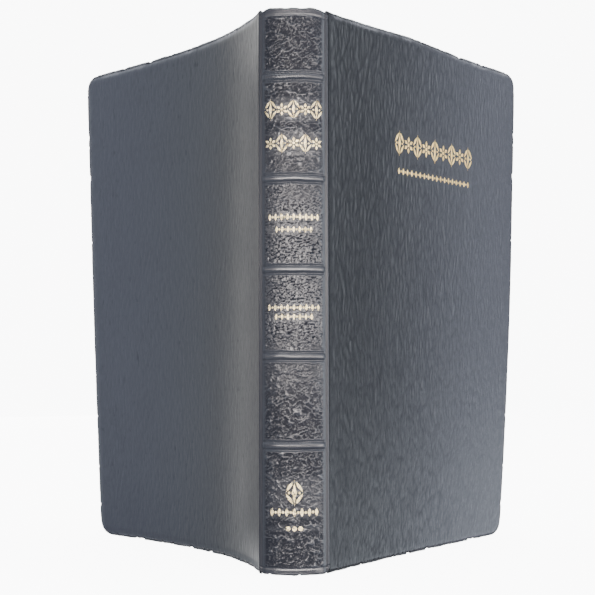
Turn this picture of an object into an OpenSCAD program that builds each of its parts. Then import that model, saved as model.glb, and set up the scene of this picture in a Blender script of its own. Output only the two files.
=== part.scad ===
// Limp leather bible, standing open on its tail.
// The origin is at the foot of the spine, in the middle of the spine leather.
// +Z runs up the spine to the head, +Y from the spine to the fore-edges, +X towards the front cover.

/* [Cover] */
// Height of the covers and spine, tail to head
cover_h = 210; // [180:1:260]
// Width of one cover, crease to fore-edge
cover_w = 142; // [120:1:180]
// Thickness of one finished cover
cover_t = 1.8; // [1.6:0.1:2.4]
// Radius of the two outer corners of a cover
corner_r = 8; // [3:0.5:14]
// Thickness of the cover leather
leather_t = 0.7; // [0.5:0.05:0.9]
// Thickness of the leather where it is turned in
turn_in_t = 0.4; // [0.3:0.05:0.5]
// Width of the leather turned in round the board
turn_in_w = 12; // [8:1:16]
// Thickness of the endpapers
endpaper_t = 0.2; // [0.1:0.05:0.3]
// Border of turned-in leather left showing round the pastedown
leather_border = 4; // [3:0.5:6]

/* [Spine] */
// Width of the spine, crease to crease
spine_w = 26; // [25:0.5:30]
// How far the round spine bulges behind the creases
spine_rise = 4.9; // [4.5:0.1:6]
// Thickness of the card in the spine
inlay_t = 0.5; // [0.3:0.05:0.6]
// Heights of the middles of the raised bands
band_z = [47, 79.8, 111.9, 145.7, 183.9];
// Height of one raised band
band_h = 3.9; // [3:0.1:6]
// How far a band stands out of the spine
band_rise = 0.8; // [0.5:0.1:1.2]

/* [Text block] */
// Number of sewn sections on each side of the opening
sections_per_side = 14; // [14:1:14]
// Distance between neighbouring sections when the book is shut
section_pitch = 0.775; // [0.7:0.005:0.775]
// Thickness of one section
section_t = 0.76; // [0.6:0.01:0.76]
// How much smaller the pages are than the covers, on each of three sides
page_inset = 3; // [2:0.5:5]
// Radius of the outer page corners
page_corner_r = 7; // [3:0.5:12]
// Length over which a section swells from its fold to its full thickness
section_taper = 26; // [26:0.5:32]

/* [Opening] */
// How far the front cover is opened from shut
front_open = 40; // [10:1:90]
// How far the back cover is opened from shut
back_open = 36; // [10:1:90]
// Share of its cover's turn that the innermost section makes
inner_share = 0.7; // [0.3:0.01:0.7]
// Share of its cover's turn that the outermost section makes
outer_share = 0.92; // [0.9:0.01:0.93]
// Share of its cover's turn that a flyleaf makes
flyleaf_share = 0.97; // [0.96:0.005:0.98]

/* [Gold tooling] */
// Thickness of the stamped foil
foil_t = 0.1; // [0.05:0.01:0.15]
// Middle heights of the two ornament rows on the spine
spine_row_z = [158.8, 171.5];
// Height of one ornament row on the spine
spine_row_h = 8; // [6:0.5:9]
// Middle heights of the four thin lines on the spine
spine_line_z = [94.4, 97.8, 126.7, 131.3];
// Middle height of the ornament row on the front cover
front_row_z = 166.2; // [150:0.1:180]
// Height of the ornament row on the front cover
front_row_h = 10.4; // [8:0.1:12]
// Width of the ornament row on the front cover
front_row_w = 59; // [40:1:70]
// Middle of the ornament row, from the crease
front_row_s = 75; // [70:1:80]
// How far the thin line on the front cover lies below the ornament row
front_line_drop = 11.3; // [9:0.1:15]

/* [Hidden] */
$fn = 96;

leather_color = [0.15, 0.16, 0.19];
card_color = [0.62, 0.55, 0.44];
paper_color = [0.95, 0.92, 0.83];
gold_color = [0.86, 0.70, 0.35];
cloth_color = [0.88, 0.86, 0.80];

// The spine is an arc: its outer radius, its centre and the line of the hinges.
spine_r = (pow(spine_w / 2, 2) + pow(spine_rise, 2)) / (2 * spine_rise);
spine_cy = spine_r - leather_t / 2;
hinge_y = spine_rise - leather_t / 2;
hinge_gap = 0.3;
// Layers behind the leather, from outside in. A hollow lets the spine leather lift off the text block.
cap_h = 1;
inlay_r = spine_r - leather_t;
turned_r = inlay_r - inlay_t;
hollow_r = turned_r - turn_in_t;
lining_r = hollow_r - 0.25;
lining_t = 0.3;
mull_r = lining_r - lining_t;
mull_t = 0.2;
glue_r = mull_r - mull_t;
glue_t = 0.3;
fold_r = glue_r - glue_t;
band_strip_h = band_h - 2 * leather_t;
strip_r = spine_r + band_rise - leather_t;
spine_sweep = 46;
// Pages and their hinges.
page_h = cover_h - 2 * page_inset;
pivot_y = hinge_y + 2.3;
page_w = hinge_y + cover_w - page_inset - pivot_y;
block_half_w = sections_per_side * section_pitch;
fold_front_y = pivot_y - 0.1;
fold_root_t = 0.1;
flyleaf_x = spine_w / 2 - cover_t - endpaper_t;
flyleaf_y = hinge_y + 1.95;
// Sewing stations, each a pair of threads.
station_z = [30, 67.5, 105, 142.5, 180];
thread_h = 0.5;
thread_gap = 6;
head_band_r = 0.8;
// Gold tooling.
rule_h = 0.6;
row_half_angle = 34;
row_lozenges = 5;
front_lozenges = 9;
emblem_z = 30;
emblem_row_z = 23;
emblem_foot_z = 17;
// More than the width of the spine and text block.
across = 60;

// A plate in the plane of a shut cover: its width runs along +Y, its height along +Z and its thickness
// towards +X. The two corners away from the hinge are rounded.
module plate(w, h, r, t) {
    rotate([90, 0, 90]) linear_extrude(t) difference() {
        square([w, h]);
        for (top = [0, 1]) translate([w, top * h]) mirror([0, top, 0])
            translate([-r, 0]) difference() {
                translate([0, -1]) square([r + 1, r + 1]);
                translate([0, r]) circle(r);
            }
    }
}

// Puts what is drawn for a shut cover on the front (side 1) or the back (side -1), turned open.
// Thickness is drawn from the outer face, at x = 0, towards -X.
module on_side(side, hinge_x, y, angle) {
    translate([side * hinge_x, y, 0]) mirror([side < 0 ? 1 : 0, 0, 0]) rotate([0, 0, -angle]) children();
}

// An arc-shaped layer of the spine between two radii, cut off straight at y_end.
module spine_layer(r_out, r_in, z0, z1, half_w, y_end) {
    translate([0, spine_cy, z0]) linear_extrude(z1 - z0) intersection() {
        difference() {
            circle(r_out);
            circle(r_in);
        }
        translate([-half_w, -r_out - 1]) square([2 * half_w, r_out + 1 + y_end - spine_cy]);
    }
}

// A strip that follows the round of the spine, with the given profile in (radius, height).
module spine_strip(r, half_angle, z) {
    translate([0, spine_cy, z]) rotate([0, 0, -90 - half_angle]) rotate_extrude(angle = 2 * half_angle)
        translate([r, 0]) children();
}

// Keeps what lies behind the hinge lines, within half_w of the middle.
module behind_hinges(half_w) {
    intersection() {
        translate([-half_w, -across, -1]) cube([2 * half_w, across + hinge_y - hinge_gap, cover_h + 2]);
        children();
    }
}

// The leather's section up the spine: outside with the bands standing out, then inside, where it is
// folded round the ends of the card and hollowed for the band strips.
function outside(z) = [[spine_r, z - band_h / 2], [spine_r + band_rise, z - band_h / 2 + leather_t],
    [spine_r + band_rise, z + band_h / 2 - leather_t], [spine_r, z + band_h / 2]];
function inside(z) = [[inlay_r, z + band_strip_h / 2], [strip_r, z + band_strip_h / 2],
    [strip_r, z - band_strip_h / 2], [inlay_r, z - band_strip_h / 2]];
function folded_end(z, way) = [[hollow_r, z], [hollow_r, z + way * turn_in_w],
    [turned_r, z + way * turn_in_w], [turned_r, z + way * cap_h], [inlay_r, z + way * cap_h]];
function backwards(list) = [for (i = [len(list) - 1 : -1 : 0]) list[i]];

module spine_leather() {
    outer = [for (z = band_z) each outside(z)];
    inner = [for (z = backwards(band_z)) each inside(z)];
    color(leather_color) behind_hinges(spine_w / 2) spine_strip(0, spine_sweep, 0)
        polygon(concat([[spine_r, 0]], outer, [[spine_r, cover_h]], folded_end(cover_h, -1), inner,
            backwards(folded_end(0, 1))));
}

module raised_bands() {
    color(card_color) behind_hinges(spine_w / 2 - 1) for (z = band_z)
        spine_strip(inlay_r, spine_sweep, z)
            translate([0, -band_strip_h / 2]) square([strip_r - inlay_r, band_strip_h]);
}

module spine_inlay() {
    color(card_color) spine_layer(inlay_r, turned_r, cap_h, cover_h - cap_h, spine_w / 2, hinge_y - 0.4);
}

module block_layer(r_out, r_in, z0, z1) {
    spine_layer(r_out, r_in, z0, z1, block_half_w, hinge_y);
}

module spine_lining() {
    color(card_color) block_layer(lining_r, mull_r, page_inset, cover_h - page_inset);
}

module spine_mull() {
    color(cloth_color) block_layer(mull_r, glue_r, page_inset + 8, cover_h - page_inset - 8);
}

module threads() {
    for (z = station_z, d = [-thread_gap / 2, thread_gap / 2])
        block_layer(glue_r, fold_r, z + d - thread_h / 2, z + d + thread_h / 2);
}

module spine_glue() {
    color([0.85, 0.82, 0.70]) difference() {
        block_layer(glue_r, fold_r, page_inset, cover_h - page_inset);
        for (z = station_z, d = [-thread_gap / 2, thread_gap / 2])
            translate([-across / 2, -across / 2, z + d - thread_h / 2]) cube([across, across, thread_h]);
    }
}

module sewing_thread() {
    color("white") threads();
}

module sewn_folds() {
    color(paper_color) translate([0, 0, page_inset]) linear_extrude(page_h) intersection() {
        translate([0, spine_cy]) circle(fold_r);
        translate([-block_half_w, 0]) square([2 * block_half_w, fold_front_y]);
    }
}

module end_band(z) {
    band_half_angle = asin((block_half_w - 1) / (fold_r - head_band_r));
    color(cloth_color) spine_strip(fold_r - head_band_r, band_half_angle, z) circle(head_band_r, $fn = 32);
}

module head_band() { end_band(cover_h - page_inset + head_band_r); }
module tail_band() { end_band(page_inset - head_band_r); }

// A length of foil round the spine, between two angles from its middle.
module foil_arc(z, h, from, to) {
    translate([0, spine_cy, z - h / 2]) rotate([0, 0, -90 + from]) rotate_extrude(angle = to - from)
        translate([spine_r, 0]) square([foil_t, h]);
}

// A lozenge of foil wrapped onto the round of the spine.
module foil_lozenge(at_angle, z, w, h) {
    translate([0, spine_cy, z]) rotate([0, 0, at_angle]) intersection() {
        translate([0, 0, -h / 2]) linear_extrude(h) difference() {
            circle(spine_r + foil_t);
            circle(spine_r);
        }
        rotate([90, 0, 0]) linear_extrude(spine_r + 1) lozenge(w, h);
    }
}

module lozenge(w, h) {
    polygon([[-w / 2, 0], [0, -h / 2], [w / 2, 0], [0, h / 2]]);
}

// A ring segment of foil cut into equal dashes.
module foil_dashes(z, h, half_angle, count) {
    step = 2 * half_angle / count;
    for (i = [0 : count - 1])
        foil_arc(z, h, -half_angle + step * (i + 0.15), -half_angle + step * (i + 0.85));
}

// Each row of ornament is a line of lozenges between two rules.
module spine_title_foil() {
    step = 2 * row_half_angle / row_lozenges;
    color(gold_color) for (z = spine_row_z) {
        for (i = [0 : row_lozenges - 1])
            foil_lozenge(-row_half_angle + step * (i + 0.5), z, 3.4, spine_row_h * 0.6);
        for (e = [-1, 1])
            foil_arc(z + e * (spine_row_h - rule_h) / 2, rule_h, -row_half_angle, row_half_angle);
    }
}

module spine_line_foil() {
    color(gold_color) for (z = spine_line_z) foil_dashes(z, 1.6, row_half_angle - 4, 7);
}

module spine_emblem_foil() {
    color(gold_color) {
        foil_lozenge(0, emblem_z, 6, 10);
        foil_dashes(emblem_row_z, 2, row_half_angle - 5, 5);
        foil_lozenge(0, emblem_foot_z, 5, 2.8);
    }
}

module cover_leather(side, angle) {
    color(leather_color) on_side(side, spine_w / 2, hinge_y, angle) difference() {
        translate([-cover_t + endpaper_t, hinge_gap, 0])
            plate(cover_w - hinge_gap, cover_h, corner_r, cover_t - endpaper_t);
        translate([-cover_t + endpaper_t + turn_in_t, 0, cap_h])
            plate(cover_w - cap_h, cover_h - 2 * cap_h, corner_r - cap_h,
                cover_t - endpaper_t - turn_in_t - leather_t);
        translate([-cover_t, 0, turn_in_w])
            plate(cover_w - turn_in_w, cover_h - 2 * turn_in_w, 1, cover_t - leather_t);
    }
}

// Fills the space between the leather and its turn-in, and the window inside the turn-in.
module cover_board(side, angle) {
    color(card_color) on_side(side, spine_w / 2, hinge_y, angle) union() {
        translate([-cover_t + endpaper_t + turn_in_t, hinge_gap, cap_h])
            plate(cover_w - cap_h - hinge_gap, cover_h - 2 * cap_h, corner_r - cap_h,
                cover_t - endpaper_t - turn_in_t - leather_t);
        translate([-cover_t + endpaper_t, hinge_gap, turn_in_w])
            plate(cover_w - turn_in_w - hinge_gap, cover_h - 2 * turn_in_w, 1, turn_in_t + 0.1);
    }
}

module cover_pastedown(side, angle) {
    color(paper_color) on_side(side, spine_w / 2, hinge_y, angle)
        translate([-cover_t, hinge_gap, leather_border])
            plate(cover_w - leather_border - hinge_gap, cover_h - 2 * leather_border,
                corner_r - leather_border / 2, endpaper_t);
}

// Foil on the front cover: a flat pattern in (distance from the crease, height).
module front_foil(z) {
    color(gold_color) on_side(1, spine_w / 2, hinge_y, front_open)
        translate([0, front_row_s, z]) rotate([90, 0, 90]) linear_extrude(foil_t) children();
}

module front_leather() { cover_leather(1, front_open); }
module front_board() { cover_board(1, front_open); }
module front_pastedown() { cover_pastedown(1, front_open); }

module front_title_foil() {
    step = front_row_w / front_lozenges;
    front_foil(front_row_z) {
        for (i = [0 : front_lozenges - 1])
            translate([-front_row_w / 2 + step * (i + 0.5), 0]) lozenge(step * 0.8, front_row_h * 0.6);
        for (e = [-1, 1])
            translate([-front_row_w / 2, e * (front_row_h - rule_h) / 2 - rule_h / 2])
                square([front_row_w, rule_h]);
    }
}

module front_line_foil() {
    dash_w = 2.8;
    dash_step = 4;
    front_foil(front_row_z - front_line_drop)
        for (i = [-6.5 : 6.5]) translate([i * dash_step - dash_w / 2, -1]) square([dash_w, 2]);
}

module back_leather() { cover_leather(-1, back_open); }
module back_board() { cover_board(-1, back_open); }
module back_pastedown() { cover_pastedown(-1, back_open); }

module flyleaf(side, angle) {
    color(paper_color) on_side(side, flyleaf_x, flyleaf_y, angle * flyleaf_share)
        translate([-endpaper_t / 2, 0, page_inset])
            plate(hinge_y + cover_w - page_inset - flyleaf_y, page_h, page_corner_r, endpaper_t);
}

module front_flyleaf() { flyleaf(1, front_open); }
module back_flyleaf() { flyleaf(-1, back_open); }

// A section is a slab of pages that tapers to its sewn fold. Section 1 of a side is next to the middle.
module section(side, index, angle) {
    share = inner_share + (outer_share - inner_share) * (index - 1) / (sections_per_side - 1);
    color(paper_color) on_side(side, section_pitch * (index - 0.5), pivot_y, angle * share)
        intersection() {
            translate([-section_t / 2, 0, page_inset]) plate(page_w, page_h, page_corner_r, section_t);
            linear_extrude(cover_h) polygon([[-fold_root_t / 2, 0], [fold_root_t / 2, 0],
                [section_t / 2, section_taper], [section_t / 2, page_w + 1],
                [-section_t / 2, page_w + 1], [-section_t / 2, section_taper]]);
        }
}

// Sections are numbered from the front cover to the back cover.
module numbered_section(n) {
    if (n <= sections_per_side) section(1, sections_per_side + 1 - n, front_open);
    else section(-1, n - sections_per_side, back_open);
}

spine_leather();
spine_inlay();
raised_bands();
spine_lining();
spine_mull();
spine_glue();
sewing_thread();
sewn_folds();
head_band();
tail_band();
spine_title_foil();
spine_line_foil();
spine_emblem_foil();
front_leather();
front_board();
front_pastedown();
front_title_foil();
front_line_foil();
back_leather();
back_board();
back_pastedown();
front_flyleaf();
back_flyleaf();
numbered_section(1);  // section_01
numbered_section(2);  // section_02
numbered_section(3);  // section_03
numbered_section(4);  // section_04
numbered_section(5);  // section_05
numbered_section(6);  // section_06
numbered_section(7);  // section_07
numbered_section(8);  // section_08
numbered_section(9);  // section_09
numbered_section(10);  // section_10
numbered_section(11);  // section_11
numbered_section(12);  // section_12
numbered_section(13);  // section_13
numbered_section(14);  // section_14
numbered_section(15);  // section_15
numbered_section(16);  // section_16
numbered_section(17);  // section_17
numbered_section(18);  // section_18
numbered_section(19);  // section_19
numbered_section(20);  // section_20
numbered_section(21);  // section_21
numbered_section(22);  // section_22
numbered_section(23);  // section_23
numbered_section(24);  // section_24
numbered_section(25);  // section_25
numbered_section(26);  // section_26
numbered_section(27);  // section_27
numbered_section(28);  // section_28
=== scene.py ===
"""Looks of a limp leather bible that stands open on its tail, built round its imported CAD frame."""
import math

import bpy
import numpy as np
from mathutils import Matrix, Vector


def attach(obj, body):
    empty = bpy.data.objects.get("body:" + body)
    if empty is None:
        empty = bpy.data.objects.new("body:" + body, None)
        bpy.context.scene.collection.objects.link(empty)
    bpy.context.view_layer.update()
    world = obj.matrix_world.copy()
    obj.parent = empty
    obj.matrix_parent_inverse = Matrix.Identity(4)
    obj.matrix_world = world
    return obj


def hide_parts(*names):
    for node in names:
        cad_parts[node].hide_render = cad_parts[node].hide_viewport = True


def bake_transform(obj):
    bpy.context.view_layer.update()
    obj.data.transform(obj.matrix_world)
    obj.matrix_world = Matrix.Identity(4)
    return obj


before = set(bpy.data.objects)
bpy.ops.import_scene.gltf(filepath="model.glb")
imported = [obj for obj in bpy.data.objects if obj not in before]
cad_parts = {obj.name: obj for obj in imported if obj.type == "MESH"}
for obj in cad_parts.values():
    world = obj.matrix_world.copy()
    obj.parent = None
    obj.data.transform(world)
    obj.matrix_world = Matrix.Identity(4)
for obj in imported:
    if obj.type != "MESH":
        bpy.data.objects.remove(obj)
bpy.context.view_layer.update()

MM = 0.001

# ---------- dimensions, in millimetres
COVER_H = 210.0
COVER_W = 142.0
COVER_T = 1.8
CORNER_R = 8.0
EDGE_R = 0.8
SPINE_W = 26.0
SPINE_RISE = 4.9
SPINE_EDGE_R = 0.6
LEATHER_T = 0.7
ENDPAPER_T = 0.2
TURN_IN_W = 12.0
LEATHER_BORDER = 4.0
BAND_Z = (47.0, 79.8, 111.9, 145.7, 183.9)
PAGE_INSET = 3.0
PAGE_CORNER_R = 7.0
FLYLEAF_T = 0.12
HEADBAND_R = 0.8
FOLDS_DEPTH = 2.65
FOIL_PROUD = 0.055
FOIL_SUNK = 0.02
# Sections on each side of the opening, and leaves in each section.
SECTIONS = 14
SECTION_PITCH = 0.775
LEAVES = 3
LEAF_T = 0.235
FRONT, BACK = 1, -1
OPEN = {FRONT: math.radians(40), BACK: math.radians(36)}
# How much of its cover's turn each section and flyleaf takes.
INNER_SHARE = 0.70
OUTER_SHARE = 0.92
FLYLEAF_SHARE = 0.97

# The spine's round, and the axes that the covers, sections and flyleaves turn about.
HALF = SPINE_W / 2
SPINE_R = (HALF ** 2 + SPINE_RISE ** 2) / (2 * SPINE_RISE)
SPINE_CY = SPINE_R - LEATHER_T / 2
SPINE_SPAN = SPINE_R * math.asin(HALF / SPINE_R)
HINGE_Y = SPINE_RISE - LEATHER_T / 2
PIVOT_Y = HINGE_Y + 2.3
FLYLEAF_X = HALF - COVER_T - ENDPAPER_T
FLYLEAF_Y = HINGE_Y + 1.95
PAGE_TOP = COVER_H - PAGE_INSET
FORE_EDGE_Y = HINGE_Y + COVER_W - PAGE_INSET

# How a cover bends between spine and cover: the share of the turn at the crease at half height,
# and how fast it grows per millimetre towards the fore-edge and over the whole height.
BEND = {FRONT: (0.827, 0.00049, 0.166), BACK: (0.387, 0.00378, 0.134)}
OPENING_PASSES = 60

# ---------- camera
CAMERA_AT = (-7.55, HINGE_Y - 489.7, 75.0)
CAMERA_PITCH = math.radians(3.125)
CAMERA_YAW = math.radians(1.046)
CAMERA_ROLL = math.radians(-0.133)
SENSOR_W = 36
FOCAL_PER_WIDTH = 2.216807


def add_camera():
    pitch, yaw, roll = CAMERA_PITCH, CAMERA_YAW, CAMERA_ROLL
    forward = Vector((math.sin(yaw) * math.cos(pitch), math.cos(yaw) * math.cos(pitch), math.sin(pitch)))
    level = Vector((math.cos(yaw), -math.sin(yaw), 0))
    above = level.cross(forward)
    right = math.cos(roll) * level + math.sin(roll) * above
    up = math.cos(roll) * above - math.sin(roll) * level
    data = bpy.data.cameras.new("camera")
    data.sensor_width = SENSOR_W
    data.lens = SENSOR_W * FOCAL_PER_WIDTH
    camera = bpy.data.objects.new("camera", data)
    turn = Matrix((right, up, -forward)).transposed().to_4x4()
    camera.matrix_world = Matrix.Translation(Vector(CAMERA_AT) * MM) @ turn
    bpy.context.collection.objects.link(camera)
    bpy.context.scene.camera = camera


add_camera()


# ---------- noise on numpy arrays
def lattice(i, j, seed):
    value = np.sin(i * 127.1 + j * 311.7 + seed * 74.7) * 43758.5453
    return value - np.floor(value)


def soft_noise(u, v, seed):
    """Smooth noise from 0 to 1 with features one unit across."""
    i, j = np.floor(u), np.floor(v)
    a, b = u - i, v - j
    a, b = a * a * (3 - 2 * a), b * b * (3 - 2 * b)
    low = lattice(i, j, seed) * (1 - a) + lattice(i + 1, j, seed) * a
    high = lattice(i, j + 1, seed) * (1 - a) + lattice(i + 1, j + 1, seed) * a
    return low * (1 - b) + high * b


def cell_edges(u, v, seed):
    """Distance to the border between random cells one unit across, 0 on the border."""
    i, j = np.floor(u), np.floor(v)
    nearest = np.full(u.shape, 9.0)
    second = np.full(u.shape, 9.0)
    for di in (-1, 0, 1):
        for dj in (-1, 0, 1):
            px = i + di + lattice(i + di, j + dj, seed)
            py = j + dj + lattice(i + di, j + dj, seed + 17)
            d = np.hypot(u - px, v - py)
            second = np.minimum(second, np.maximum(nearest, d))
            nearest = np.minimum(nearest, d)
    return second - nearest


def smooth(low, high, x):
    """0 below low, 1 above high, and a smooth slope between."""
    t = np.clip((x - low) / (high - low), 0, 1)
    return t * t * (3 - 2 * t)


def bulge(x, centre, width):
    """1 at the centre, falling off smoothly over the width."""
    return np.exp(-(((x - centre) / width) ** 2))


def grain(u, v, cell, stretch, seed, crease=0.22):
    """Leather grain from -1, in the creases, to 0: cells stretched along v."""
    bend = soft_noise(u / cell / 2.2, v / cell / stretch, seed + 3) - 0.5
    lean = soft_noise(u / cell / 1.5, v / cell / stretch / 1.5, seed + 5) - 0.5
    edge = cell_edges(u / cell + 1.3 * bend, v / (cell * stretch) + 0.7 * lean, seed)
    return -bulge(edge, 0, crease)


def ridges(u, v, seed):
    """Thin wandering ridges from 0 to 1, about one unit apart."""
    bend = soft_noise(u * 0.7, v * 0.7, seed + 9) - 0.5
    lean = soft_noise(u * 0.7 + 9, v * 0.7 - 4, seed + 13) - 0.5
    level = soft_noise(u + 2.4 * bend, v + 2.4 * lean, seed)
    return bulge(level, 0.5, 0.06)


# ---------- meshes
def make_mesh(name, points, faces, *looks, uv=None, slots=None, flat=False, hollow=None):
    """A mesh object from millimetre points. looks are its materials, and slots says which one each face
    has. uv is one pair per point, in millimetres, and hollow says how deep in a crease each point lies,
    from 0 to 1, which the leather paints as shade, or below 0 how much painted highlight it takes."""
    mesh = bpy.data.meshes.new(name)
    mesh.from_pydata([tuple(p) for p in np.asarray(points, float) * MM], [], [tuple(f) for f in faces])
    for look in looks:
        mesh.materials.append(look)
    if slots is not None:
        mesh.polygons.foreach_set("material_index", np.asarray(slots, np.int32))
    if uv is not None:
        layer = mesh.uv_layers.new(name="UVMap")
        index = np.zeros(len(mesh.loops), np.int32)
        mesh.loops.foreach_get("vertex_index", index)
        layer.data.foreach_set("uv", np.asarray(uv, np.float32)[index].ravel())
    if hollow is not None:
        depths = mesh.attributes.new("hollow", "FLOAT", "POINT")
        depths.data.foreach_set("value", np.asarray(hollow, np.float32))
    if not flat:
        mesh.polygons.foreach_set("use_smooth", np.ones(len(mesh.polygons), bool))
    mesh.update()
    obj = bpy.data.objects.new(name, mesh)
    bpy.context.collection.objects.link(obj)
    return obj


def grid_faces(rows, columns):
    faces = []
    for r in range(rows - 1):
        for c in range(columns - 1):
            a = r * columns + c
            faces.append((a, a + 1, a + columns + 1, a + columns))
    return faces


def tube_faces(stations, sides):
    """Faces round a tube whose points come ring by ring."""
    faces = []
    for i in range(stations - 1):
        for k in range(sides):
            j = (k + 1) % sides
            faces.append((i * sides + k, i * sides + j, (i + 1) * sides + j, (i + 1) * sides + k))
    return faces


def bend_line(side, bend):
    at_crease, per_y, per_height = bend
    gradient = np.array([0, per_y, per_height / COVER_H])
    step = gradient / (gradient @ gradient)
    crease = np.array([side * HALF, HINGE_Y, COVER_H / 2])
    start = crease - step * at_crease
    return start, start + step


def opened(shut, side, pivot, angle, line):
    """Turns points of the shut book open about an upright axis, each by a share of the angle that grows
    smoothly along the bend line.
    A point's turn depends on where it ends up, so the passes repeat until that is steady."""
    start, end = (np.asarray(p) for p in line)
    step = end - start
    rest = shut.copy()
    dx, dy = shut[:, 0] - pivot[0], shut[:, 1] - pivot[1]
    for _ in range(OPENING_PASSES):
        t = np.clip(((rest - start) @ step) / (step @ step), 0, 1)
        turn = t * t * (3 - 2 * t) * angle * side
        rest[:, 0] = pivot[0] + dx * np.cos(turn) + dy * np.sin(turn)
        rest[:, 1] = pivot[1] - dx * np.sin(turn) + dy * np.cos(turn)
    return rest


def blend_piece(piece):
    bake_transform(piece)


# ---------- materials
class Nodes:
    """A node tree: each call adds one node, and its result can feed another."""

    def __init__(self, owner):
        owner.use_nodes = True
        self.tree = owner.node_tree

    def node(self, kind, inputs=(), **settings):
        made = self.tree.nodes.new("ShaderNode" + kind)
        for key, value in settings.items():
            setattr(made, key, value)
        for key, value in dict(inputs).items():
            if isinstance(value, bpy.types.NodeSocket):
                self.tree.links.new(value, made.inputs[key])
            else:
                made.inputs[key].default_value = value
        return made


class Shader(Nodes):
    """A material. Its sockets are named as on the Principled node, with _ for a space."""

    def __init__(self, name, **sockets):
        self.material = bpy.data.materials.new(name)
        super().__init__(self.material)
        self.surface = self.tree.nodes["Principled BSDF"]
        for key, value in sockets.items():
            self.surface.inputs[key.replace("_", " ")].default_value = value

    def feed(self, socket, value):
        self.tree.links.new(value, self.surface.inputs[socket])

    def sheet(self, scale=(1, 1)):
        """The piece's own flat coordinates in millimetres, scaled."""
        place = self.node("UVMap", uv_map="UVMap").outputs["UV"]
        return self.node("Mapping", {"Vector": place, "Scale": (*scale, 1)}).outputs["Vector"]

    def solid(self, scale=(1, 1, 1)):
        """Coordinates of a rigid CAD part in millimetres, scaled."""
        place = self.node("TexCoord").outputs["Object"]
        millimetres = tuple(1000 * s for s in scale)
        return self.node("Mapping", {"Vector": place, "Scale": millimetres}).outputs["Vector"]

    def noise(self, at, scale, detail=2.0, rough=0.5):
        inputs = {"Vector": at, "Scale": scale, "Detail": detail, "Roughness": rough}
        return self.node("TexNoise", inputs).outputs["Fac"]

    def math(self, operation, a, b=0.0, c=0.0):
        return self.node("Math", {0: a, 1: b, 2: c}, operation=operation).outputs[0]

    def ramp(self, value, low, high, to_low=0.0, to_high=1.0):
        inputs = {"Value": value, "From Min": low, "From Max": high, "To Min": to_low, "To Max": to_high}
        return self.node("MapRange", inputs, interpolation_type="SMOOTHSTEP").outputs["Result"]

    def blend(self, share, a, b):
        """A colour from a, at share 0, to b, at share 1."""
        colours = [x if isinstance(x, bpy.types.NodeSocket) else (*x, 1) for x in (a, b)]
        inputs = {0: share, 6: colours[0], 7: colours[1]}
        return self.node("Mix", inputs, data_type="RGBA").outputs[2]

    def near(self, value, centre, reach):
        """1 where a value lies within reach of the centre, 0 elsewhere."""
        away = self.math("ABSOLUTE", self.math("SUBTRACT", value, centre))
        return self.math("LESS_THAN", away, reach)

    def split(self, vector):
        return self.node("SeparateXYZ", {"Vector": vector}).outputs

    def bump(self, height, depth):
        """Turns the surface's normal by a height from 0 to 1 that is depth millimetres deep."""
        inputs = {"Height": height, "Distance": depth * MM}
        self.feed("Normal", self.node("Bump", inputs).outputs["Normal"])


def warped(shader, at, reach, scale):
    """Coordinates pushed about by noise, so that a pattern wanders."""
    wander = shader.node("TexNoise", {"Vector": at, "Scale": scale, "Detail": 1.0}).outputs["Color"]
    push = shader.node("VectorMath", {0: wander, 1: (0.5, 0.5, 0.5)}, operation="SUBTRACT").outputs[0]
    far = shader.node("VectorMath", {0: push, "Scale": reach}, operation="SCALE").outputs[0]
    return shader.node("VectorMath", {0: at, 1: far}, operation="ADD").outputs[0]


# Painted shade for the leather's creases, cracks and chips.
CREASE_SHADE_TONE = (0.0035, 0.0045, 0.009)
# Painted highlight for the rounded edges of the covers.
EDGE_HIGHLIGHT_TONE = (0.17, 0.175, 0.195)


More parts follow.
